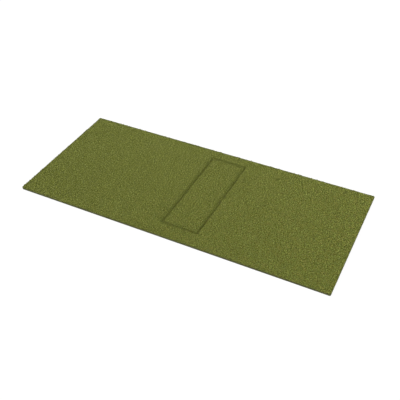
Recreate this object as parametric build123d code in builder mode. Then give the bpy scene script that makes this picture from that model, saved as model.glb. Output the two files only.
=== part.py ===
from build123d import *
import os

# Golf hitting mat: a laminated turf mat with a rectangular window, and a loose
# hitting strip of the same turf that drops into the window and lies flush.
#
# Millimetres. The origin is the centre of the underside, +X runs along the
# mat's length, +Y to its back edge and +Z up, out of the turf.

os.makedirs("parts", exist_ok=True)

INCH = 25.4
FOOT = 12 * INCH

# Plan of the mat
MAT_LENGTH = 9 * FOOT
MAT_WIDTH = 4 * FOOT
MAT_CORNER = 10.0

# Plan of the hitting strip, its place in the mat and the knife cut around it
STRIP_WIDTH = 316.0
STRIP_LENGTH = 958.0
STRIP_CORNER = 9.0
STRIP_X = 80.0
STRIP_Y = 17.0
CUT_GAP = 1.5

# Layers of the mat, from the floor up
BASE_THICKNESS = 1.5
FOAM_THICKNESS = 5.0
COATING_THICKNESS = 1.0
BACKING_THICKNESS = 0.8
PILE_HEIGHT = 0.5 * INCH

# How far the tips of the pile round over along each cut edge
OUTER_RIM = 6.0
GROOVE_RIM = 8.0

# Hook-and-loop fastening between the strip and the floor of its pocket
LOOP_THICKNESS = 1.2
LOOP_MARGIN = 3.0
HOOK_THICKNESS = 1.0
HOOK_WIDTH = 50.0
HOOK_LENGTH = 930.0
HOOK_PITCH = 115.0
HOOK_COUNT = 3

# Heights of the layers' undersides
FOAM_BOTTOM = BASE_THICKNESS
COATING_BOTTOM = FOAM_BOTTOM + FOAM_THICKNESS
BACKING_BOTTOM = COATING_BOTTOM + COATING_THICKNESS
PILE_BOTTOM = BACKING_BOTTOM + BACKING_THICKNESS
TURF_TOP = PILE_BOTTOM + PILE_HEIGHT

# The strip's turf lies level with the mat's, so its pad fills what is left below
LOOP_BOTTOM = BASE_THICKNESS
HOOK_BOTTOM = LOOP_BOTTOM + LOOP_THICKNESS
PAD_BOTTOM = HOOK_BOTTOM + HOOK_THICKNESS
PAD_THICKNESS = COATING_BOTTOM - PAD_BOTTOM

WINDOW_WIDTH = STRIP_WIDTH + 2 * CUT_GAP
WINDOW_LENGTH = STRIP_LENGTH + 2 * CUT_GAP
WINDOW_CORNER = STRIP_CORNER + CUT_GAP
LOOP_WIDTH = WINDOW_WIDTH - 2 * LOOP_MARGIN
LOOP_LENGTH = WINDOW_LENGTH - 2 * LOOP_MARGIN


def save(part, label):
    """Labels a finished piece and writes it as a STEP file of the same name."""
    part.label = label
    export_step(part, f"parts/{label}.step")


def mat_layer(label, bottom, thickness):
    """One flat layer of the mat, cut to its outline and to the strip's window."""
    with BuildPart() as layer:
        with BuildSketch(Plane.XY.offset(bottom)):
            RectangleRounded(MAT_LENGTH, MAT_WIDTH, MAT_CORNER)
            with Locations((STRIP_X, STRIP_Y)):
                RectangleRounded(WINDOW_WIDTH, WINDOW_LENGTH, WINDOW_CORNER, mode=Mode.SUBTRACT)
        extrude(amount=thickness)
    save(layer.part, label)


def strip_layer(label, bottom, thickness):
    """One flat layer of the hitting strip, cut to the strip's outline."""
    with BuildPart() as layer:
        with BuildSketch(Plane.XY.offset(bottom)):
            with Locations((STRIP_X, STRIP_Y)):
                RectangleRounded(STRIP_WIDTH, STRIP_LENGTH, STRIP_CORNER)
        extrude(amount=thickness)
    save(layer.part, label)


# Rubber sheet under the whole mat, which also closes the window from below
with BuildPart() as base_sheet:
    with BuildSketch(Plane.XY):
        RectangleRounded(MAT_LENGTH, MAT_WIDTH, MAT_CORNER)
    extrude(amount=BASE_THICKNESS)
save(base_sheet.part, "base_sheet")

# Cushioning foam, latex coating and woven backing, all cut through by the window
mat_layer("foam_underlay", FOAM_BOTTOM, FOAM_THICKNESS)
mat_layer("turf_coating", COATING_BOTTOM, COATING_THICKNESS)
mat_layer("turf_primary_backing", BACKING_BOTTOM, BACKING_THICKNESS)

# Pile of the mat: the tips round over at the outline and dip towards the strip
with BuildPart() as turf_pile:
    with BuildSketch(Plane.XY.offset(PILE_BOTTOM)):
        RectangleRounded(MAT_LENGTH, MAT_WIDTH, MAT_CORNER)
        with Locations((STRIP_X, STRIP_Y)):
            RectangleRounded(WINDOW_WIDTH, WINDOW_LENGTH, WINDOW_CORNER, mode=Mode.SUBTRACT)
    extrude(amount=PILE_HEIGHT)
    pile_top = turf_pile.faces().sort_by(Axis.Z)[-1]
    fillet(pile_top.inner_wires()[0].edges(), radius=GROOVE_RIM)
    pile_top = turf_pile.faces().sort_by(Axis.Z)[-1]
    fillet(pile_top.outer_wire().edges(), radius=OUTER_RIM)
save(turf_pile.part, "turf_pile")

# Loop fabric glued to the base sheet, on the floor of the strip's pocket
with BuildPart() as pocket_loop_liner:
    with BuildSketch(Plane.XY.offset(LOOP_BOTTOM)):
        with Locations((STRIP_X, STRIP_Y)):
            RectangleRounded(LOOP_WIDTH, LOOP_LENGTH, WINDOW_CORNER - LOOP_MARGIN)
    extrude(amount=LOOP_THICKNESS)
save(pocket_loop_liner.part, "pocket_loop_liner")

# Hook tapes along the strip's underside, one solid each, which grip the loops
with BuildPart() as strip_hook_tapes:
    with BuildSketch(Plane.XY.offset(HOOK_BOTTOM)):
        with Locations((STRIP_X, STRIP_Y)):
            with GridLocations(HOOK_PITCH, 0, HOOK_COUNT, 1):
                Rectangle(HOOK_WIDTH, HOOK_LENGTH)
    extrude(amount=HOOK_THICKNESS)
save(strip_hook_tapes.part, "strip_hook_tapes")

# Shock pad, latex coating and woven backing of the strip
strip_layer("strip_shock_pad", PAD_BOTTOM, PAD_THICKNESS)
strip_layer("strip_coating", COATING_BOTTOM, COATING_THICKNESS)
strip_layer("strip_primary_backing", BACKING_BOTTOM, BACKING_THICKNESS)

# Pile of the strip: its tips dip at all four edges to meet the mat's in a groove
with BuildPart() as strip_pile:
    with BuildSketch(Plane.XY.offset(PILE_BOTTOM)):
        with Locations((STRIP_X, STRIP_Y)):
            RectangleRounded(STRIP_WIDTH, STRIP_LENGTH, STRIP_CORNER)
    extrude(amount=PILE_HEIGHT)
    pile_top = strip_pile.faces().sort_by(Axis.Z)[-1]
    fillet(pile_top.outer_wire().edges(), radius=GROOVE_RIM)
save(strip_pile.part, "strip_pile")

print(f"turf top at {TURF_TOP:.1f} mm, strip shock pad {PAD_THICKNESS:.1f} mm thick")
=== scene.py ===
import math

import bmesh
import bpy
import numpy as np
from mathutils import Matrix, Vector
from mathutils.geometry import delaunay_2d_cdt


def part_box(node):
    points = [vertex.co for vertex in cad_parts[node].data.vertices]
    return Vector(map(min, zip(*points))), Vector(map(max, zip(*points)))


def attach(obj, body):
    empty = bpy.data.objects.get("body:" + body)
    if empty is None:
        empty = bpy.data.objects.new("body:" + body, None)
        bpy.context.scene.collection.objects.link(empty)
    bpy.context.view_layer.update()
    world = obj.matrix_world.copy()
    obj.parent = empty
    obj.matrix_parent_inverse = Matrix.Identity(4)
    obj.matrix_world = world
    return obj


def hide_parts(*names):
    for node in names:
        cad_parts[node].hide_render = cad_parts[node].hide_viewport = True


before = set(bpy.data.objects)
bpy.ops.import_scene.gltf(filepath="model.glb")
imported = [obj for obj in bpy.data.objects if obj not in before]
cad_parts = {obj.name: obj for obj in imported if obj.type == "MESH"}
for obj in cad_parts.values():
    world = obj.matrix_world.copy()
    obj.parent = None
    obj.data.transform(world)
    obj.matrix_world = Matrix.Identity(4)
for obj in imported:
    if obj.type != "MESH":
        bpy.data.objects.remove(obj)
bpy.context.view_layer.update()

# Golf hitting mat. Metres, in the CAD frame: +X along the mat, +Y to its back
# edge, +Z up. The CAD holds every layer's outline and height; this script gives
# each layer its surface, and the two piles their tufts.

MM = 0.001

# A length that is as good as nothing, and Blender's number for triangles that are made
# only inside the loops it is given
TINY = 1e-9
INSIDE_LOOPS = 1

# Heights and outlines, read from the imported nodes
MAT_LOW, MAT_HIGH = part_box("turf_pile")
STRIP_LOW, STRIP_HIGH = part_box("strip_pile")
PILE_BOTTOM = MAT_LOW[2]
TURF_TOP = MAT_HIGH[2]

# Corner radii, and the knife cut between the mat and its strip, as the CAD has them
MAT_CORNER = 10 * MM
STRIP_CORNER = 9 * MM
CUT_GAP = 1.5 * MM

# The pile leans towards +X. Where it leans out over the knife cut it sinks in a long
# soft bank, and where it leans away from the cut it stands nearly upright.
NAP_LEAN = 1.4 * MM
MAT_BANK_REACH = 22 * MM
STRIP_BANK_REACH = 27 * MM
BANK_REACH_NAP = 15 * MM
BANK_DEPTH = 7 * MM
BANK_DEPTH_NAP = 1.5 * MM

# Painted shade: tufts in a bank are painted darker and more alike, standing in for the shade
# in the groove, and so, less far in, are the ones that sink along the mat's outline
BANK_PAINTED_SHADE = 0.38
BANK_ALIKE = 0.5
RIM_REACH = 6 * MM
RIM_DEPTH = 1.2 * MM
RIM_PAINTED_SHADE_REACH = 10 * MM
RIM_PAINTED_SHADE = 0.6

# Tufting: a tuft's blades stand round its middle, and splay and shorten away from it
ROW_GAUGE = 6.4 * MM
STITCH_PITCH = 6.0 * MM
STITCH_JITTER = 0.25
BLADES_PER_TUFT = 6
TUFT_RADIUS = 1.4 * MM
TUFT_RISE = 0.8 * MM
TUFT_SHORTER = 1.2 * MM
SPLAY_MIDDLE = 0.6 * MM
SPLAY_OUTSIDE = 3.0 * MM
SPLAY_RANGE = (0.6, 1.2)

# One blade: its width and how much shows above the roots, how much narrower its ends
# are, how far along its run and its rise it bends, and how it is shaded there
BLADE_WIDTH = 1.5 * MM
BLADE_WIDTHS = (0.7, 1.25)
BLADE_SHOWING = 8 * MM
BLADE_PROUD = 1.0 * MM
ROOT_CLEAR = 0.3 * MM
ROOT_NARROW = 0.7
TIP_NARROW = 0.65
BLADE_BEND = np.array([0.38, 0.38, 0.68])
BEND_ALONG = 0.6
MIDDLE_SHADE = 0.5

# How much tufts and blades differ, as standard deviations, and how the differences
# between tufts even out over a few of them
TUFT_SHADE = 0.27
TUFT_HEIGHT = 1.0 * MM
TUFT_LEAN = 1.0 * MM
BLADE_SHADE = 0.08
BLADE_HEIGHT = 0.5 * MM
BLADE_TURN = 0.5
EVEN_REACH = 2
EVENNESS = 0.7

# The most blades in one piece
BAND_BLADES = 49000

# Where the outer rows stop, and how far their yarn reaches past a cut
RIM_CLEAR = 0.3 * MM
RIM_OVERHANG = 3.0 * MM
LOOSE_OVERHANG = 4.5 * MM
CUT_CLEAR = 2.2 * MM
CUT_OVERHANG = 0.6 * MM
STRAY_SHARE = 0.12
STRAY_CLUMP = 4
STRAY_REACH = 4.0 * MM
STRAY_RISE = 3.0 * MM

# The yarn along the cuts: its spacing, how far behind the cut and how high its roots
# are, how it sways and bends, and how its widths and shades differ
FRINGE_PITCH = 1.5 * MM
FRINGE_DRIFT = 1.2 * MM
FRINGE_SETBACK = (0.3 * MM, 1.6 * MM)
FRINGE_ROOTS = (0.3 * MM, 3.5 * MM)
FRINGE_REACH = (0.1, 1.0)
FRINGE_SWAY = 1.4
FRINGE_BEND = np.array([0.35, 0.35, 0.6])
FRINGE_WIDTHS = (0.7, 1.2)
FRINGE_SHADE = 0.12
STRAY_RANGE = (0.3, 1)

# Its layers, shade and heights of its tips: round the mat's outline, in the loose ends
# there, and down both sides of the groove. Their low shade is painted shade on the pile's
# sides and in the groove.
RIM_LAYERS = 5
LOOSE_LAYERS = 2
CUT_LAYERS = 4
RIM_FRINGE_PAINTED_SHADE = 0.15
CUT_FRINGE_PAINTED_SHADE = 0.30
RIM_TOPS = (TURF_TOP - 3.0 * MM, TURF_TOP + 0.8 * MM)
LOOSE_TOPS = (TURF_TOP - 16.0 * MM, TURF_TOP - 5.0 * MM)
CUT_TOPS = (TURF_TOP - 9.0 * MM, TURF_TOP - 6.0 * MM)

# The thatch of roots between the tufts, which ends short of each cut. It lies at its
# depth below the tips, sinks with them by its share, and is lumpy and rough.
THATCH_INSET = 1.8 * MM
THATCH_DEPTH = 4.5 * MM
THATCH_SINK = 0.7
THATCH_LEAST = 1 * MM
THATCH_PITCH = 6.4 * MM
THATCH_LUMP = 7 * MM
THATCH_LUMP_DEPTH = 1.5 * MM
THATCH_ROUGH = 0.8 * MM
YARN_END = 1.7 * MM

# What soft noise covers, to each side of the origin
NOISE_SPAN = (1.5, 0.75)

# Knife-cut layers: the pitch of points along and up their walls, how uneven the walls
# are, and the share of that in which the knife drifts slowly
KNIFE_STEP = 3 * MM
CORNER_STEPS = 3
WALL_LEVELS = 5
FOAM_WOBBLE = 0.25 * MM
COAT_WOBBLE = 0.15 * MM
WEAVE_WOBBLE = 0.2 * MM
KNIFE_DRIFT = 0.5

# Loop fabric: its cloth, and the loops that stand off it, half as high where the hook
# tapes press on them. A loop is an arch of a few points, with its feet in the cloth.
LOOP_CORNER = 7.5 * MM
CLOTH_PITCH = 2.5 * MM
CLOTH_ROUGH = 0.15 * MM
CLOTH_SHADES = (0, 0.6)
LOOP_COUNT = 22000
LOOP_CLEAR = 1.2 * MM
LOOP_STANDING = 0.6 * MM
LOOP_RISES = (0.6, 1.0)
LOOP_PRESSED = 0.5
LOOP_SPANS = (0.5 * MM, 1.0 * MM)
LOOP_THREAD = 0.35 * MM
LOOP_SHADES = (0.2, 0.9)
LOOP_POINTS = 5
ROOT_SUNK = 0.1 * MM

# Hook tapes: their ribs and thick edges, and the rows of hooks that stand off them. A
# hook goes along and down as its shape says, from its root to its tip.
HOOK_TAPES = 3
HOOK_WIDTH = 50 * MM
TAPE_COLUMNS = 7
RIB_PITCH = 1.6 * MM
RIB_RISE = 0.12 * MM
SELVEDGE_RISE = 0.15 * MM
HOOK_STANDING = 0.6 * MM
HOOK_FIRST = 2 * MM
HOOK_LAST = 1 * MM
HOOK_PITCH_X = 2.6 * MM
HOOK_PITCH_Y = 3.2 * MM
HOOK_THREAD = 0.5 * MM
HOOK_LENGTH = 0.7 * MM
HOOK_SHAPE = ((0.0, 0.0), (0.05, 0.55), (0.45, 1.0), (0.9, 0.8), (1.0, 0.5))
HOOK_SHADES = (0.3, 0.7)

# Camera, with its angles in degrees and its lens and sensor in millimetres
VIEW_AZIMUTH = 26.37
VIEW_ELEVATION = 39.96
VIEW_DISTANCE = 5.377
VIEW_TARGET = Vector((0.0622, -0.0639, 0.0))
LENS = 57.46
SENSOR = 36.0

# Light, and a floor that is grey paper lit from within to a plain white
SKY_STRENGTH = 1.0
SUN_STRENGTH = 3.0
SUN_ANGLE = 12
SUN_FROM = Vector((-0.85, 0.15, 0.50))
FLOOR_SIDE = 30.0
FLOOR_DROP = 0.2 * MM
FLOOR_GREY = 0.06
FLOOR_GLOW = 0.945


# ---------------------------------------------------------------- materials

class Paint:
    """A material with one Principled shader, and short calls for what drives it."""

    def __init__(self, name, roughness=0.7, specular=0.3, sheen=0.0):
        self.material = bpy.data.materials.new(name)
        self.material.use_nodes = True
        self.tree = self.material.node_tree
        self.shader = self.tree.nodes["Principled BSDF"]
        self.shader.inputs["Roughness"].default_value = roughness
        self.shader.inputs["Specular IOR Level"].default_value = specular
        self.shader.inputs["Sheen Weight"].default_value = sheen
        self.place = self.node("ShaderNodeTexCoord").outputs["Object"]

    def node(self, kind, **settings):
        """A new node of the material's tree, with its own settings."""
        made = self.tree.nodes.new(kind)
        for name, value in settings.items():
            setattr(made, name, value)
        return made

    def feed(self, socket, value):
        """Gives a socket a link, where the value is another socket, or a fixed value."""
        if isinstance(value, bpy.types.NodeSocket):
            self.tree.links.new(value, socket)
        else:
            socket.default_value = value

    def attribute(self, name):
        """The number that set_field gave each point under this name."""
        return self.node("ShaderNodeAttribute", attribute_name=name).outputs["Fac"]

    def noise(self, size, detail=2.0, stretch=(1, 1, 1)):
        """Soft noise whose blots are about size metres across."""
        mapping = self.node("ShaderNodeMapping")
        self.feed(mapping.inputs["Vector"], self.place)
        mapping.inputs["Scale"].default_value = stretch
        noise = self.node("ShaderNodeTexNoise")
        self.feed(noise.inputs["Vector"], mapping.outputs["Vector"])
        noise.inputs["Scale"].default_value = 1 / size
        noise.inputs["Detail"].default_value = detail
        return noise.outputs["Fac"]

    def cells(self, size):
        """Distance to the nearest of scattered points about size metres apart."""
        cells = self.node("ShaderNodeTexVoronoi")
        self.feed(cells.inputs["Vector"], self.place)
        cells.inputs["Scale"].default_value = 1 / size
        return cells.outputs["Distance"]

    def waves(self, size, direction):
        """Straight ribs along one axis, one every size metres."""
        waves = self.node("ShaderNodeTexWave", bands_direction=direction)
        self.feed(waves.inputs["Vector"], self.place)
        waves.inputs["Scale"].default_value = math.tau / (20 * size)
        waves.inputs["Distortion"].default_value = 0.6
        return waves.outputs["Fac"]

    def ramp(self, factor, *stops):
        """A colour ramp from (position, colour) stops."""
        ramp = self.node("ShaderNodeValToRGB")
        elements = ramp.color_ramp.elements
        for _ in stops[2:]:
            elements.new(0.5)
        for element, (position, colour) in zip(elements, stops):
            element.position = position
            element.color = (*colour, 1)
        self.feed(ramp.inputs["Fac"], factor)
        return ramp.outputs["Color"]

    def mix(self, factor, a, b, blend="MIX"):
        """Two colours, each a socket or a tuple, blended by a factor."""
        mix = self.node("ShaderNodeMix", data_type="RGBA", blend_type=blend)
        self.feed(mix.inputs["Factor"], factor)
        for socket, value in ((mix.inputs[6], a), (mix.inputs[7], b)):
            self.feed(socket, (*value, 1) if isinstance(value, tuple) else value)
        return mix.outputs[2]

    def between(self, factor, low, high):
        """Maps a factor from 0 to 1 onto low to high."""
        span = self.node("ShaderNodeMapRange")
        self.feed(span.inputs["Value"], factor)
        span.inputs["To Min"].default_value = low
        span.inputs["To Max"].default_value = high
        return span.outputs["Result"]

    def toward(self, direction, start, end):
        """A factor that grows from 0 at start to 1 at end, along a direction."""
        dot = self.node("ShaderNodeVectorMath", operation="DOT_PRODUCT")
        self.feed(dot.inputs[0], self.place)
        dot.inputs[1].default_value = direction
        span = self.node("ShaderNodeMapRange")
        self.feed(span.inputs["Value"], dot.outputs["Value"])
        span.inputs["From Min"].default_value = start
        span.inputs["From Max"].default_value = end
        return span.outputs["Result"]

    def times(self, a, b):
        """The product of two factors."""
        product = self.node("ShaderNodeMath", operation="MULTIPLY")
        self.feed(product.inputs[0], a)
        self.feed(product.inputs[1], b)
        return product.outputs["Value"]

    def colour(self, value):
        self.feed(self.shader.inputs["Base Color"], value)

    def rough(self, value):
        self.feed(self.shader.inputs["Roughness"], value)

    def bump(self, height, distance, strength=1.0):
        bump = self.node("ShaderNodeBump")
        bump.inputs["Strength"].default_value = strength
        bump.inputs["Distance"].default_value = distance
        self.feed(bump.inputs["Height"], height)
        self.feed(self.shader.inputs["Normal"], bump.outputs["Normal"])


def turf_yarn():
    """Olive nylon yarn, darkened from tip to root by painted shade, each blade its own tone.

    Towards the front right corner it is duller, darker and less blue, with
    brownish patches.
    """
    paint = Paint("turf_yarn", specular=0.25, sheen=0.15)
    # Painted shade: the colour falls from pale at the tip to dark at the root, standing in for
    # the shade deep in the pile
    along = paint.ramp(
        paint.attribute("along"),
        (0.0, (0.062, 0.069, 0.011)),
        (0.55, (0.363, 0.394, 0.075)),
        (1.0, (0.524, 0.562, 0.137)),
    )
    # The shade attribute carries each tuft's and blade's own random tone, and the painted shade
    # of the banks, the outline and the cut fringes
    shade = paint.ramp(
        paint.attribute("shade"),
        (0.0, (0.25, 0.25, 0.12)),
        (0.5, (1.00, 1.00, 1.00)),
        (1.0, (1.42, 1.42, 1.90)),
    )
    colour = paint.mix(1.0, along, shade, "MULTIPLY")
    patches = paint.between(paint.noise(26 * MM, 3), -3.6, 4.2)
    toward_front_right = paint.toward((0.75, -0.66, 0), -0.7, 1.2)
    dulled = paint.mix(1.0, colour, (0.870, 0.920, 0.760), "MULTIPLY")
    colour = paint.mix(toward_front_right, colour, dulled)
    browned = paint.mix(1.0, colour, (1.09, 0.945, 0.98), "MULTIPLY")
    colour = paint.mix(paint.times(patches, toward_front_right), colour, browned)
    paint.colour(colour)
    paint.rough(paint.between(paint.attribute("shade"), 0.72, 0.55))
    return paint.material


def thatch():
    """The dense roots of the pile, seen only in the gaps between the blades."""
    paint = Paint("turf_thatch", specular=0.1)
    ends = paint.cells(YARN_END)
    # Painted shade: the yarn ends are pale in their raised middles and dark in the low creases
    # between them
    paler = paint.ramp(ends, (0.15, (0.300, 0.335, 0.062)), (0.70, (0.062, 0.070, 0.012)))
    darker = paint.mix(1.0, paler, (0.55, 0.55, 0.55), "MULTIPLY")
    paint.colour(paint.mix(paint.between(paint.noise(4 * MM, 3), -0.6, 1.6), paler, darker))
    paint.rough(paint.between(paint.noise(3 * MM), 0.75, 0.95))
    paint.bump(paint.between(ends, 1, 0), 0.7 * MM)
    return paint.material


def rubber_sheet():
    """Black sheet rubber with a fine moulded grain and a little dust."""
    paint = Paint("base_rubber", specular=0.35)
    grain = paint.cells(2.2 * MM)
    paint.colour(
        paint.ramp(
            paint.noise(20 * MM, 5),
            (0.3, (0.012, 0.012, 0.012)),
            (0.75, (0.026, 0.026, 0.025)),
        )
    )
    paint.rough(paint.between(paint.noise(6 * MM, 4), 0.55, 0.8))
    paint.bump(grain, 0.3 * MM)
    return paint.material


def cut_foam(name, dark, pale, cell):
    """Closed-cell foam, with the open halves of its bubbles on the cut faces."""
    paint = Paint(name, specular=0.2)
    bubbles = paint.cells(cell)
    # Painted shade: each open bubble is darkest in the middle of its hollow, standing in for
    # the shade inside it
    paint.colour(paint.ramp(bubbles, (0.05, dark), (0.5, pale)))
    paint.rough(paint.between(paint.noise(4 * MM, 3), 0.78, 0.95))
    paint.bump(bubbles, 0.3 * MM)
    return paint.material


def underlay_foam():
    """The mat's foam, dark olive."""
    return cut_foam("underlay_foam", (0.042, 0.049, 0.020), (0.098, 0.112, 0.042), 1.6 * MM)


def pad_foam():
    """The strip's denser foam, nearly black."""
    return cut_foam("shock_pad_foam", (0.012, 0.012, 0.013), (0.036, 0.036, 0.038), 1.2 * MM)


def latex():
    """Grey latex coating, wiped on by a blade, with fine filler specks."""
    paint = Paint("latex_coating", specular=0.3)
    paint.colour(
        paint.ramp(
            paint.noise(3 * MM, 5),
            (0.3, (0.030, 0.031, 0.028)),
            (0.7, (0.062, 0.062, 0.056)),
        )
    )
    paint.rough(paint.between(paint.noise(8 * MM, 3), 0.5, 0.75))
    paint.bump(paint.noise(6 * MM, 4, (1, 0.2, 1)), 0.4 * MM)
    return paint.material


def backing_cloth():
    """Black woven polypropylene that the yarn is tufted through."""
    paint = Paint("woven_backing", specular=0.35)
    warp = paint.waves(2.2 * MM, "X")
    weft = paint.waves(2.8 * MM, "Y")
    weave = paint.mix(0.5, warp, weft)
    paint.colour(paint.ramp(weave, (0.1, (0.008, 0.008, 0.008)), (0.9, (0.030, 0.031, 0.028))))
    paint.rough(paint.between(weave, 0.5, 0.75))
    paint.bump(weave, 0.4 * MM)
    return paint.material


def brushed_loops():
    """Black brushed loop fabric, greyer where the hooks have pulled at it."""
    paint = Paint("loop_fabric", specular=0.12, sheen=0.12)
    fuzz = paint.mix(0.35, paint.noise(1.8 * MM, 5), paint.attribute("shade"))
    fresh = paint.ramp(fuzz, (0.3, (0.010, 0.010, 0.011)), (0.75, (0.050, 0.050, 0.052)))
    pulled = paint.ramp(fuzz, (0.3, (0.026, 0.026, 0.026)), (0.75, (0.082, 0.082, 0.079)))
    patchy = paint.between(paint.noise(18 * MM, 4), -0.2, 1.4)
    paint.colour(paint.mix(paint.times(patchy, paint.attribute("pressed")), fresh, pulled))
    paint.rough(paint.between(fuzz, 0.8, 0.98))
    paint.bump(fuzz, 0.5 * MM)
    return paint.material


def hook_nylon():
    """Black moulded nylon of the hook tapes."""
    paint = Paint("hook_tape", specular=0.45)
    paint.colour(
        paint.ramp(
            paint.noise(4 * MM, 3),
            (0.3, (0.010, 0.010, 0.010)),
            (0.7, (0.022, 0.022, 0.022)),
        )
    )
    paint.rough(paint.between(paint.noise(3 * MM, 2), 0.35, 0.5))
    paint.bump(paint.waves(3 * MM, "Y"), 0.2 * MM)
    return paint.material


# ------------------------------------------------------------ shape helpers

def place(name, mesh, body):
    """Makes a mesh into a piece of the scene that rides on a body."""
    piece = bpy.data.objects.new(name, mesh)
    bpy.context.scene.collection.objects.link(piece)
    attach(piece, body)
    return piece


def set_field(mesh, field, values):
    """Gives a mesh one number for each point, which a material reads by name."""
    layer = mesh.attributes.new(field, "FLOAT", "POINT")
    layer.data.foreach_set("value", values.astype(np.float32))


def quad_mesh(name, points, quads, fields, material):
    """A mesh from arrays of points and of quads, and a number per point for each field."""
    mesh = bpy.data.meshes.new(name)
    mesh.vertices.add(len(points))
    mesh.vertices.foreach_set("co", points.ravel())
    mesh.loops.add(quads.size)
    mesh.loops.foreach_set("vertex_index", quads.ravel().astype(np.int32))
    mesh.polygons.add(len(quads))
    mesh.polygons.foreach_set("loop_start", np.arange(len(quads), dtype=np.int32) * 4)
    mesh.update(calc_edges=True)
    for field, values in fields.items():
        set_field(mesh, field, values)
    mesh.materials.append(material)
    return mesh


def grid(xs, ys):
    """The points of a grid as flat arrays, and the quads between them."""
    x, y = (g.ravel() for g in np.meshgrid(xs, ys, indexing="ij"))
    wide = len(ys)
    first = np.arange(len(xs) - 1)[:, None] * wide + np.arange(wide - 1)
    first = first.ravel()
    return x, y, np.stack([first, first + wide, first + wide + 1, first + 1], 1)


def closed_bed(name, points, faces, level, material, body):
    """A height field closed by walls to a flat side at one level."""
    bm = bmesh.new()
    used = np.unique(faces)
    number = np.full(len(points), -1)
    number[used] = np.arange(len(used))
    made = [bm.verts.new(points[k]) for k in used]
    for face in number[faces]:
        bm.faces.new([made[k] for k in face])
    rims = rim_loops(bm)
    feet = [[bm.verts.new((vert.co.x, vert.co.y, level)) for vert in rim] for rim in rims]
    for rim, foot in zip(rims, feet):
        for k in range(len(rim)):
            bm.faces.new([rim[k - 1], rim[k], foot[k], foot[k - 1]])
    flat_side(bm, feet)
    return placed_bmesh(bm, name, material, body)


def rim_loops(bm):
    """The open edges of a mesh as loops of points, each in order."""
    corners = [edge.link_loops[0] for edge in bm.edges if edge.is_boundary]
    after = {corner.vert: corner.link_loop_next.vert for corner in corners}
    loops = []
    while after:
        loop = [next(iter(after))]
        while loop[-1] in after:
            loop.append(after.pop(loop[-1]))
        loops.append(loop[1:])
    return loops


def flat_side(bm, loops):
    """Closes level loops of points with triangles, but not where one is inside another."""
    loops = [counter_clockwise(loop) for loop in loops]
    verts = [vert for loop in loops for vert in loop]
    ends = np.cumsum([len(loop) for loop in loops])
    rings = [list(range(end - len(loop), end)) for end, loop in zip(ends, loops)]
    found = delaunay_2d_cdt([vert.co.xy for vert in verts], [], rings, INSIDE_LOOPS, TINY)
    triangles, source, within = found[2], found[3], found[5]
    for triangle, around in zip(triangles, within):
        if len(around) == 1:
            bm.faces.new([verts[source[k][0]] for k in triangle])


def counter_clockwise(loop):
    """A loop of points, turned round if it runs clockwise."""
    x, y = np.array([vert.co.xy for vert in loop]).T
    return loop if np.sum(x * np.roll(y, -1) - y * np.roll(x, -1)) > 0 else loop[::-1]


def placed_bmesh(bm, name, material, body):
    """Turns a closed bmesh into a piece on a body, with its faces outwards."""
    bmesh.ops.recalc_face_normals(bm, faces=bm.faces[:])
    mesh = bpy.data.meshes.new(name)
    bm.to_mesh(mesh)
    bm.free()
    mesh.materials.append(material)
    return place(name, mesh, body)


def edge_distance(x, y, low, high, corner):
    """Distance inside a rounded rectangle's outline, and the outward direction there."""
    centre = ((low[0] + high[0]) / 2, (low[1] + high[1]) / 2)
    away_x, away_y = x - centre[0], y - centre[1]
    past_x = np.abs(away_x) - ((high[0] - low[0]) / 2 - corner)
    past_y = np.abs(away_y) - ((high[1] - low[1]) / 2 - corner)
    both = (past_x > 0) & (past_y > 0)
    reach = np.hypot(past_x, past_y)
    out = np.where(both, reach, np.maximum(past_x, past_y)) - corner
    safe = np.maximum(reach, TINY)
    flat_x = (past_x >= past_y).astype(float)
    normal_x = np.where(both, past_x / safe, flat_x) * np.sign(away_x)
    normal_y = np.where(both, past_y / safe, 1 - flat_x) * np.sign(away_y)
    return -out, normal_x, normal_y


def window_box():
    """The hole that the strip drops into: the strip's outline plus the knife's gap."""
    low = (STRIP_LOW[0] - CUT_GAP, STRIP_LOW[1] - CUT_GAP)
    high = (STRIP_HIGH[0] + CUT_GAP, STRIP_HIGH[1] + CUT_GAP)
    return low, high, STRIP_CORNER + CUT_GAP


def turf_edge(x, y, of_mat):
    """What a pile's edge does at each point, as rows of one array.

    The rows are the distance in from the nearest cut edge, the way out over it in x
    and y, how far the tips drop there, how much painted shade darkens them, and 1 where
    that edge is the mat's own outline.
    """
    if not of_mat:
        inside, out_x, out_y = edge_distance(x, y, STRIP_LOW, STRIP_HIGH, STRIP_CORNER)
        drop, painted_shade = bank_drop(inside, out_x, STRIP_BANK_REACH)
        return np.stack([inside, out_x, out_y, drop, painted_shade, np.zeros(len(x))])
    rim, rim_x, rim_y = edge_distance(x, y, MAT_LOW, MAT_HIGH, MAT_CORNER)
    hole, hole_x, hole_y = edge_distance(x, y, *window_box())
    by_rim = rim < -hole
    bank, painted_shade = bank_drop(-hole, -hole_x, MAT_BANK_REACH)
    return np.stack([
        np.where(by_rim, rim, -hole),
        np.where(by_rim, rim_x, -hole_x),
        np.where(by_rim, rim_y, -hole_y),
        np.maximum(quarter_ellipse(rim, RIM_REACH, RIM_DEPTH), bank),
        # painted shade along the mat's outline and in the banks
        np.maximum(quarter_ellipse(rim, RIM_PAINTED_SHADE_REACH, RIM_PAINTED_SHADE), painted_shade),
        by_rim,
    ])


def bank_drop(inside, with_nap, reach):
    """How far the pile sinks towards the knife cut, and how much painted shade darkens it
    there.
    """
    reach = reach + BANK_REACH_NAP * with_nap
    depth = BANK_DEPTH + BANK_DEPTH_NAP * with_nap
    return quarter_ellipse(inside, reach, depth), np.clip(1 - inside / reach, 0, 1)


def quarter_ellipse(inside, reach, depth):
    """A curve that grows from nothing, at reach inside an edge, to depth at the edge."""
    into = np.clip(1 - inside / reach, 0, 1)
    return depth * (1 - np.sqrt(1 - into**2))


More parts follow.
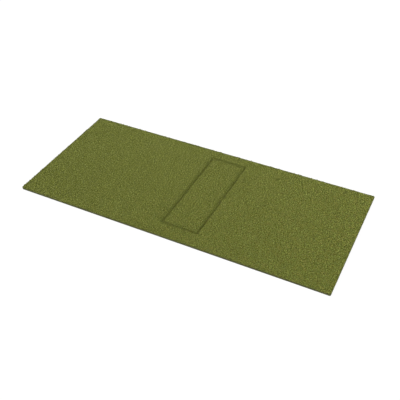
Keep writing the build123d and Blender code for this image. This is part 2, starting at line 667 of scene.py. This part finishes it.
def soft_noise(x, y, pitch, rng):
    """Random values from -1 to 1 that change smoothly, with a new one every pitch."""
    span_x, span_y = NOISE_SPAN
    values = rng.uniform(-1, 1, (int(2 * span_x / pitch) + 3, int(2 * span_y / pitch) + 3))
    at_x, at_y = (x + span_x) / pitch, (y + span_y) / pitch
    i, j = at_x.astype(int), at_y.astype(int)
    u, v = at_x - i, at_y - j
    u, v = u * u * (3 - 2 * u), v * v * (3 - 2 * v)
    near = values[i, j] * (1 - u) + values[i + 1, j] * u
    far = values[i, j + 1] * (1 - u) + values[i + 1, j + 1] * u
    return near * (1 - v) + far * v


# ------------------------------------------------------------------- tufts

class Blades:
    """Blades of yarn as arrays, one row each: where they start, bend and end, how wide
    and how dark they are, and which way their flat side runs."""

    FIELDS = ("root", "mid", "tip", "width", "shade", "facing")

    def __init__(self, root, mid, tip, width, shade, facing):
        self.root, self.mid, self.tip = root, mid, tip
        self.width, self.shade, self.facing = width, shade, facing

    def joined(self, other):
        """These blades followed by another set's."""
        pairs = ((getattr(self, field), getattr(other, field)) for field in self.FIELDS)
        return Blades(*(np.concatenate(pair) for pair in pairs))

    def picked(self, rows):
        """Only the blades of these rows."""
        return Blades(*(getattr(self, field)[rows] for field in self.FIELDS))

    def mesh(self, name, material):
        """Two quads for each blade: root to bend, and bend to the blunt cut end."""
        count = len(self.root)
        across = np.stack([np.cos(self.facing), np.sin(self.facing), np.zeros(count)], 1)
        across *= self.width[:, None] / 2
        points = np.stack(
            [
                self.root - across * ROOT_NARROW,
                self.root + across * ROOT_NARROW,
                self.mid + across,
                self.mid - across,
                self.tip + across * TIP_NARROW,
                self.tip - across * TIP_NARROW,
            ],
            1,
        ).reshape(-1, 3)
        quads = np.arange(count)[:, None] * 6 + np.array([0, 1, 2, 3, 3, 2, 4, 5])
        fields = {
            "along": np.tile(np.repeat([0.0, BEND_ALONG, 1.0], 2), count),
            "shade": np.repeat(self.shade, 6),
        }
        return quad_mesh(name, points, quads.reshape(-1, 4), fields, material)


def uneven(shape, spread, rng):
    """One random value for each tuft of a grid, which evens out over a few tufts."""
    raw = rng.normal(0, spread, shape)
    steps = range(-EVEN_REACH, EVEN_REACH + 1)
    around = sum(np.roll(raw, (i, j), (0, 1)) for i in steps for j in steps) / len(steps) ** 2
    return (raw - EVENNESS * around).ravel()


def tuft_rows(low, high, rng):
    """Tufts in jittered rows over a rectangle, as rows of one array.

    The rows are a tuft's place in x and y, its shade and height against the others,
    and its lean in x and y.
    """
    rows = np.arange(low[1] + ROW_GAUGE / 2, high[1], ROW_GAUGE)
    stitches = np.arange(low[0] + STITCH_PITCH / 2, high[0], STITCH_PITCH)
    x, y = (g.ravel() for g in np.meshgrid(stitches, rows))
    x = x + rng.normal(0, STITCH_JITTER * STITCH_PITCH, len(x))
    y = y + rng.normal(0, STITCH_JITTER * ROW_GAUGE, len(y))
    shape = len(rows), len(stitches)
    return np.stack([
        x,
        y,
        uneven(shape, TUFT_SHADE, rng),
        uneven(shape, TUFT_HEIGHT, rng),
        uneven(shape, TUFT_LEAN, rng) + NAP_LEAN,
        uneven(shape, TUFT_LEAN, rng),
    ])


def pile_field(low, high, of_mat, rng):
    """The blades of a pile: those of each tuft that stand clear of the cuts."""
    tufts = tuft_rows(low, high, rng)
    x, y, shade, height, lean_x, lean_y = np.repeat(tufts, BLADES_PER_TUFT, axis=1)
    toward = rng.uniform(0, math.tau, len(x))
    from_middle = rng.uniform(0, 1, len(x))
    x = x + np.cos(toward) * from_middle * TUFT_RADIUS
    y = y + np.sin(toward) * from_middle * TUFT_RADIUS
    edge = turf_edge(x, y, of_mat)
    kept = edge[0] > np.where(edge[5], RIM_CLEAR, CUT_CLEAR)
    inside, out_x, out_y, drop, painted_shade, by_rim = edge[:, kept]
    x, y, shade, height, lean_x, lean_y, toward, from_middle = (
        a[kept] for a in (x, y, shade, height, lean_x, lean_y, toward, from_middle)
    )
    count = len(x)
    splay = SPLAY_MIDDLE + (SPLAY_OUTSIDE - SPLAY_MIDDLE) * from_middle
    splay = splay * rng.uniform(*SPLAY_RANGE, count)
    run_x = np.cos(toward) * splay + lean_x
    run_y = np.sin(toward) * splay + lean_y
    room = inside + np.where(by_rim, RIM_OVERHANG, CUT_OVERHANG)
    over = np.maximum(run_x * out_x + run_y * out_y - room, 0)
    run_x, run_y = run_x - out_x * over, run_y - out_y * over
    height = height - from_middle * TUFT_SHORTER - np.abs(rng.normal(0, BLADE_HEIGHT, count))
    tip_z = TURF_TOP - drop + np.minimum(height + TUFT_RISE, BLADE_PROUD)
    root_z = np.maximum(tip_z - BLADE_SHOWING, PILE_BOTTOM + ROOT_CLEAR)
    root = np.column_stack([x, y, root_z])
    tip = np.column_stack([x + run_x, y + run_y, tip_z])
    mid = root + (tip - root) * BLADE_BEND
    width = BLADE_WIDTH * rng.uniform(*BLADE_WIDTHS, count)
    # Each tuft's and blade's own random tone, evened out and darkened by painted shade in the
    # banks and along the outline
    shade = (shade + rng.normal(0, BLADE_SHADE, count)) * (1 - BANK_ALIKE * painted_shade)
    shade = MIDDLE_SHADE + shade - painted_shade * BANK_PAINTED_SHADE
    facing = toward + math.pi / 2 + rng.normal(0, BLADE_TURN, count)
    return Blades(root, mid, tip, width, np.clip(shade, 0, 1), facing)


def outline(low, high, corner, step):
    """Points round a rounded rectangle, with their outward directions."""
    half_x, half_y = (high[0] - low[0]) / 2 - corner, (high[1] - low[1]) / 2 - corner
    centre = np.array([(low[0] + high[0]) / 2, (low[1] + high[1]) / 2])
    points, normals = [], []
    turns = max(CORNER_STEPS, int(corner * math.pi / 2 / step))
    for quarter, (sx, sy) in enumerate(((1, 1), (-1, 1), (-1, -1), (1, -1))):
        for k in range(turns + 1):
            angle = (quarter + k / turns) * math.pi / 2
            normal = np.array([math.cos(angle), math.sin(angle)])
            points.append(centre + np.array([sx * half_x, sy * half_y]) + normal * corner)
            normals.append(normal)
        length = 2 * (half_x if quarter % 2 == 0 else half_y)
        along = np.array([-normal[1], normal[0]])
        runs = int(length / step)
        start = points[-1]
        for k in range(1, runs):
            points.append(start + along * length * k / runs)
            normals.append(normal)
    return np.array(points), np.array(normals)


def fringe(low, high, corner, layers, top, out, shade, rng, side=1, strays=0.0):
    """Yarn standing along a knife cut, where rows of tufts were cut through.

    Side is 1 on an outline, where the yarn leans out of it, and -1 round a window,
    where it leans in. Top is the range of heights of the tips, and out the furthest
    that one reaches past the cut. Strays is the share of clumps that stick out.
    """
    points, normals = outline(low, high, corner, FRINGE_PITCH)
    clump = np.arange(len(points)) // STRAY_CLUMP
    astray = rng.uniform(0, 1, clump[-1] + 1) < strays
    astray = np.tile((astray * rng.uniform(*STRAY_RANGE, clump[-1] + 1))[clump], layers)
    points, normals = np.tile(points, (layers, 1)), np.tile(normals * side, (layers, 1))
    count = len(points)
    along = np.stack([-normals[:, 1], normals[:, 0]], 1)
    drift = rng.normal(0, FRINGE_DRIFT, (count, 2))
    setback = rng.uniform(*FRINGE_SETBACK, (count, 1))
    base = points + along * drift[:, :1] - normals * setback
    root = np.column_stack([base, PILE_BOTTOM + rng.uniform(*FRINGE_ROOTS, count)])
    reach = rng.uniform(*FRINGE_REACH, count) * out + astray * STRAY_REACH
    tip = np.column_stack([
        base + normals * reach[:, None] + along * drift[:, 1:] * FRINGE_SWAY,
        rng.uniform(*top, count) + astray * STRAY_RISE,
    ])
    mid = root + (tip - root) * FRINGE_BEND
    width = BLADE_WIDTH * rng.uniform(*FRINGE_WIDTHS, count)
    # The level of shade given here is low: painted shade on the sides of the pile and in the
    # groove
    shade = np.clip(rng.normal(shade, FRINGE_SHADE, count), 0, 1)
    facing = np.arctan2(normals[:, 1], normals[:, 0]) + math.pi / 2
    facing = facing + rng.normal(0, BLADE_TURN, count)
    return Blades(root, mid, tip, width, shade, facing)


def tuft_bands(name, blades, material, body):
    """Splits a pile's blades into bands across the width, each one piece."""
    bands = math.ceil(len(blades.root) / BAND_BLADES)
    order = np.argsort(blades.root[:, 1], kind="stable")
    made = []
    for k, rows in enumerate(np.array_split(order, bands)):
        label = f"{name}_{k + 1}"
        made.append(place(label, blades.picked(rows).mesh(label, material), body))
    return made


def thatch_lines(low, high, cuts):
    """Evenly spaced grid lines, with the nearest one moved onto each cut."""
    marks = np.linspace(low, high, int((high - low) / THATCH_PITCH))
    for cut in cuts:
        marks[np.argmin(np.abs(marks - cut))] = cut
    return marks


def thatch_bed(name, low, high, of_mat, material, body, rng):
    """The lumpy bed of roots under the blades, closed at its sides and underneath."""
    hole_low, hole_high, _ = window_box()
    cuts = (hole_low, hole_high) if of_mat else ()
    xs = thatch_lines(low[0], high[0], [cut[0] for cut in cuts])
    ys = thatch_lines(low[1], high[1], [cut[1] for cut in cuts])
    x, y, faces = grid(xs, ys)
    inside, out_x, out_y, drop = turf_edge(x, y, of_mat)[:4]
    lump = np.abs(soft_noise(x, y, THATCH_LUMP, rng)) * THATCH_LUMP_DEPTH
    lump = lump + rng.uniform(0, THATCH_ROUGH, len(x))
    z = TURF_TOP - THATCH_DEPTH - drop * THATCH_SINK - lump
    z = np.maximum(z, PILE_BOTTOM + THATCH_LEAST)
    outside = np.minimum(inside - THATCH_INSET, 0)
    points = np.column_stack([x + out_x * outside, y + out_y * outside, z])
    if of_mat:
        middle_x, middle_y = x[faces].mean(1), y[faces].mean(1)
        in_hole = (middle_x > hole_low[0]) & (middle_x < hole_high[0])
        in_hole &= (middle_y > hole_low[1]) & (middle_y < hole_high[1])
        faces = faces[~in_hole]
    return closed_bed(name, points, faces, PILE_BOTTOM, material, body)


# --------------------------------------------------------------- flat layers

def knife_wall(bm, points, normals, levels, wobble, rng):
    """A wall along a cut, with its rings of points at each level in and out of line."""
    slow = np.cumsum(rng.normal(0, 1, len(points)))
    slow -= np.linspace(0, slow[-1], len(points))
    slow = slow / np.abs(slow).max() * wobble * KNIFE_DRIFT
    rings = []
    for z in levels:
        bite = slow - np.abs(rng.normal(0, wobble, len(points)))
        ring = points + normals * bite[:, None]
        rings.append([bm.verts.new((x, y, z)) for x, y in ring])
    for lower, upper in zip(rings, rings[1:]):
        for k in range(len(points)):
            after = (k + 1) % len(points)
            bm.faces.new([lower[k], lower[after], upper[after], upper[k]])
    return rings


def cut_layer(name, node, corner, material, body, rng, wobble, window=False):
    """A flat layer in a CAD node's box, with the uneven walls that a knife leaves."""
    low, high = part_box(node)
    levels = np.linspace(low[2], high[2], WALL_LEVELS)
    cuts = [(low, high, corner, 1)]
    if window:
        cuts.append((*window_box(), -1))
    bm = bmesh.new()
    bottom, top = [], []
    for cut_low, cut_high, cut_corner, side in cuts:
        points, normals = outline(cut_low, cut_high, cut_corner, KNIFE_STEP)
        rings = knife_wall(bm, points, normals * side, levels, wobble, rng)
        bottom.append(rings[0])
        top.append(rings[-1])
    flat_side(bm, bottom)
    flat_side(bm, top)
    piece = placed_bmesh(bm, name, material, body)
    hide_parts(node)
    return piece


# ------------------------------------------------------------ hook and loop

def ribbons(name, path, width, facing, fields, material, body):
    """One narrow ribbon per row of path, an array of rows by points by 3."""
    count, points = path.shape[:2]
    across = np.stack([np.cos(facing), np.sin(facing), np.zeros(count)], 1)[:, None] * width / 2
    corners = np.stack([path - across, path + across], 2).reshape(-1, 3)
    step = np.arange(points - 1)[:, None] * 2 + np.array([0, 1, 3, 2])
    quads = (np.arange(count)[:, None] * points * 2 + step.ravel()).reshape(-1, 4)
    fields = {field: np.repeat(values, points * 2) for field, values in fields.items()}
    return place(name, quad_mesh(name, corners, quads, fields, material), body)


def tape_edges():
    """The left and right edge of each hook tape, which lie side by side at one pitch."""
    low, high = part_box("strip_hook_tapes")
    pitch = (high[0] - low[0] - HOOK_WIDTH) / (HOOK_TAPES - 1)
    return [(low[0] + k * pitch, low[0] + k * pitch + HOOK_WIDTH) for k in range(HOOK_TAPES)]


def under_tapes(x, y):
    """1 where a point of the liner lies under one of the strip's hook tapes."""
    low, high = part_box("strip_hook_tapes")
    covered = np.any([(x > left) & (x < right) for left, right in tape_edges()], axis=0)
    return (covered & (y > low[1]) & (y < high[1])).astype(float)


def loop_cloth(paints, rng):
    """The cloth of the brushed loop fabric on the pocket's floor."""
    low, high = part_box("pocket_loop_liner")
    xs = np.linspace(low[0], high[0], int((high[0] - low[0]) / CLOTH_PITCH))
    ys = np.linspace(low[1], high[1], int((high[1] - low[1]) / CLOTH_PITCH))
    x, y, faces = grid(xs, ys)
    inside, out_x, out_y = edge_distance(x, y, low, high, LOOP_CORNER)
    outside = np.minimum(inside, 0)
    points = np.column_stack([
        x + out_x * outside,
        y + out_y * outside,
        high[2] - LOOP_STANDING - rng.uniform(0, CLOTH_ROUGH, len(x)),
    ])
    cloth = closed_bed("loop_fabric", points, faces, low[2], paints["loops"], "mat")
    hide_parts("pocket_loop_liner")
    walls = len(cloth.data.vertices) - len(x)
    set_field(cloth.data, "pressed", np.pad(under_tapes(x, y), (0, walls)))
    set_field(cloth.data, "shade", np.pad(rng.uniform(*CLOTH_SHADES, len(x)), (0, walls)))
    return cloth


def cloth_loops(paints, rng):
    """The loops that stand all over the loop fabric's cloth."""
    low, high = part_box("pocket_loop_liner")
    middle = rng.uniform(low[:2], high[:2], (LOOP_COUNT, 2))
    inside = edge_distance(middle[:, 0], middle[:, 1], low, high, LOOP_CORNER)[0]
    middle = middle[inside > LOOP_CLEAR]
    pressed = under_tapes(middle[:, 0], middle[:, 1])
    heading = rng.uniform(0, math.tau, len(middle))
    span = rng.uniform(*LOOP_SPANS, len(middle))
    rise = rng.uniform(*LOOP_RISES, len(middle)) * LOOP_STANDING * (1 - LOOP_PRESSED * pressed)
    foot_z = high[2] - LOOP_STANDING - ROOT_SUNK
    path = []
    for turn in np.linspace(0, math.pi, LOOP_POINTS):
        reach = -np.cos(turn) * span
        path.append(np.column_stack([
            middle[:, 0] + np.cos(heading) * reach,
            middle[:, 1] + np.sin(heading) * reach,
            foot_z + np.sin(turn) * (rise + ROOT_SUNK),
        ]))
    fields = {"shade": rng.uniform(*LOOP_SHADES, len(middle)), "pressed": pressed}
    return ribbons("liner_loops", np.stack(path, 1), LOOP_THREAD, heading + math.pi / 2,
                   fields, paints["loops"], "mat")


def tape_hooks(left, right, low, high):
    """The paths of one tape's hooks, in rows that turn one way and the other."""
    hook_x = np.arange(left + HOOK_FIRST, right - HOOK_LAST, HOOK_PITCH_X)
    hook_y = np.arange(low[1] + HOOK_FIRST, high[1] - HOOK_LAST, HOOK_PITCH_Y)
    x, y = (g.ravel() for g in np.meshgrid(hook_x, hook_y))
    turned = np.tile(np.arange(len(hook_x)) % 2, len(hook_y)) * 2 - 1
    root_z = low[2] + HOOK_STANDING + ROOT_SUNK
    return np.stack([
        np.column_stack([
            x,
            y + turned * along * HOOK_LENGTH,
            np.full(len(x), root_z + (low[2] - root_z) * down),
        ])
        for along, down in HOOK_SHAPE
    ], 1)


def hook_tapes(paints, rng):
    """The hook tapes under the strip: ribbed bands with thick edges, and rows of hooks."""
    low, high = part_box("strip_hook_tapes")
    ribs = np.linspace(low[1], high[1], int((high[1] - low[1]) / RIB_PITCH))
    points, faces, paths = [], [], []
    for k, (left, right) in enumerate(tape_edges()):
        x, y, quads = grid(np.linspace(left, right, TAPE_COLUMNS), ribs)
        column, rib = np.divmod(np.arange(len(x)), len(ribs))
        selvedge = (column == 0) | (column == TAPE_COLUMNS - 1)
        rise = np.where(selvedge, SELVEDGE_RISE, rib % 2 * RIB_RISE)
        points.append(np.column_stack([x, y, low[2] + HOOK_STANDING + rise]))
        faces.append(quads + k * len(x))
        paths.append(tape_hooks(left, right, low, high))
    bands = closed_bed("hook_tapes", np.concatenate(points), np.concatenate(faces), high[2],
                       paints["hooks"], "hitting_strip")
    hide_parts("strip_hook_tapes")
    paths = np.concatenate(paths)
    shade = {"shade": rng.uniform(*HOOK_SHADES, len(paths))}
    ribbons("tape_hooks", paths, HOOK_THREAD, np.zeros(len(paths)), shade, paints["hooks"],
            "hitting_strip")


# ------------------------------------------------------------------ assembly


def dress_mat(paints, rng):
    """Everything that stays on the floor when the strip is lifted out."""
    for slot in bpy.data.objects["base_sheet"].material_slots:
        slot.material = paints["rubber"]
    foam = cut_layer("foam_sheet", "foam_underlay", MAT_CORNER, paints["foam"], "mat",
                     rng, FOAM_WOBBLE, window=True)
    coat = cut_layer("latex_coat", "turf_coating", MAT_CORNER, paints["latex"], "mat",
                     rng, COAT_WOBBLE, window=True)
    weave = cut_layer("woven_backing", "turf_primary_backing", MAT_CORNER, paints["weave"],
                      "mat", rng, WEAVE_WOBBLE, window=True)
    bed = thatch_bed("turf_bed", MAT_LOW, MAT_HIGH, True, paints["thatch"], "mat", rng)
    blades = pile_field(MAT_LOW, MAT_HIGH, True, rng)
    rim = (MAT_LOW, MAT_HIGH, MAT_CORNER)
    # The fringes round the outline and down the groove carry painted shade on the pile's sides
    # and in the groove
    blades = blades.joined(
        fringe(*rim, RIM_LAYERS, RIM_TOPS, RIM_OVERHANG, RIM_FRINGE_PAINTED_SHADE, rng, strays=STRAY_SHARE)
    )
    blades = blades.joined(
        fringe(*rim, LOOSE_LAYERS, LOOSE_TOPS, LOOSE_OVERHANG, RIM_FRINGE_PAINTED_SHADE, rng)
    )
    blades = blades.joined(
        fringe(*window_box(), CUT_LAYERS, CUT_TOPS, CUT_OVERHANG, CUT_FRINGE_PAINTED_SHADE, rng, side=-1)
    )
    bands = tuft_bands("turf_tufts", blades, paints["yarn"], "mat")
    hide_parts("turf_pile")
    cloth = loop_cloth(paints, rng)
    loops = cloth_loops(paints, rng)


def dress_strip(paints, rng):
    """The hitting strip, which lifts straight up out of its pocket."""
    pad = cut_layer("strip_pad", "strip_shock_pad", STRIP_CORNER, paints["pad"],
                    "hitting_strip", rng, FOAM_WOBBLE)
    coat = cut_layer("strip_latex_coat", "strip_coating", STRIP_CORNER, paints["latex"],
                     "hitting_strip", rng, COAT_WOBBLE)
    weave = cut_layer("strip_woven_backing", "strip_primary_backing", STRIP_CORNER,
                      paints["weave"], "hitting_strip", rng, WEAVE_WOBBLE)
    cut = (STRIP_LOW, STRIP_HIGH, STRIP_CORNER)
    bed = thatch_bed("strip_bed", STRIP_LOW, STRIP_HIGH, False, paints["thatch"],
                     "hitting_strip", rng)
    blades = pile_field(STRIP_LOW, STRIP_HIGH, False, rng)
    # The strip's cut fringe carries painted shade in the groove
    blades = blades.joined(fringe(*cut, CUT_LAYERS, CUT_TOPS, CUT_OVERHANG, CUT_FRINGE_PAINTED_SHADE, rng))
    tufts = tuft_bands("strip_tufts", blades, paints["yarn"], "hitting_strip")
    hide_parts("strip_pile")
    hook_tapes(paints, rng)


def set_stage():
    """White floor and sky, and a soft low sun from the left of the picture."""
    world = bpy.data.worlds.new("studio")
    bpy.context.scene.world = world
    world.use_nodes = True
    sky = world.node_tree.nodes["Background"]
    sky.inputs["Color"].default_value = (1, 1, 1, 1)
    sky.inputs["Strength"].default_value = SKY_STRENGTH
    floor_mesh = bpy.data.meshes.new("floor")
    signs = ((-1, -1), (1, -1), (1, 1), (-1, 1))
    corners = [(x * FLOOR_SIDE, y * FLOOR_SIDE, -FLOOR_DROP) for x, y in signs]
    floor_mesh.from_pydata(corners, [], [(0, 1, 2, 3)])
    floor = bpy.data.objects.new("floor", floor_mesh)
    bpy.context.scene.collection.objects.link(floor)
    paper = Paint("floor_paper", roughness=0.9, specular=0.1)
    paper.shader.inputs["Base Color"].default_value = (FLOOR_GREY, FLOOR_GREY, FLOOR_GREY, 1)
    paper.shader.inputs["Emission Color"].default_value = (1, 1, 1, 1)
    paper.shader.inputs["Emission Strength"].default_value = FLOOR_GLOW
    floor_mesh.materials.append(paper.material)
    sun = bpy.data.lights.new("key", "SUN")
    sun.energy = SUN_STRENGTH
    sun.angle = math.radians(SUN_ANGLE)
    key = bpy.data.objects.new("key", sun)
    bpy.context.scene.collection.objects.link(key)
    key.rotation_mode = "QUATERNION"
    key.rotation_quaternion = SUN_FROM.to_track_quat("Z", "Y")


def set_camera():
    """The camera at the photograph's viewing angle."""
    azimuth, elevation = math.radians(VIEW_AZIMUTH), math.radians(VIEW_ELEVATION)
    back = Vector((
        math.sin(azimuth) * math.cos(elevation),
        -math.cos(azimuth) * math.cos(elevation),
        math.sin(elevation),
    ))
    data = bpy.data.cameras.new("camera")
    data.lens = LENS
    data.sensor_width = SENSOR
    camera = bpy.data.objects.new("camera", data)
    bpy.context.scene.collection.objects.link(camera)
    camera.location = VIEW_TARGET + back * VIEW_DISTANCE
    camera.rotation_mode = "QUATERNION"
    camera.rotation_quaternion = back.to_track_quat("Z", "Y")
    bpy.context.scene.camera = camera


set_camera()
set_stage()
bpy.context.scene.view_settings.view_transform = "Standard"

paints = {
    "yarn": turf_yarn(),
    "thatch": thatch(),
    "rubber": rubber_sheet(),
    "foam": underlay_foam(),
    "pad": pad_foam(),
    "latex": latex(),
    "weave": backing_cloth(),
    "loops": brushed_loops(),
    "hooks": hook_nylon(),
}
dress_mat(paints, np.random.default_rng(41))
dress_strip(paints, np.random.default_rng(42))
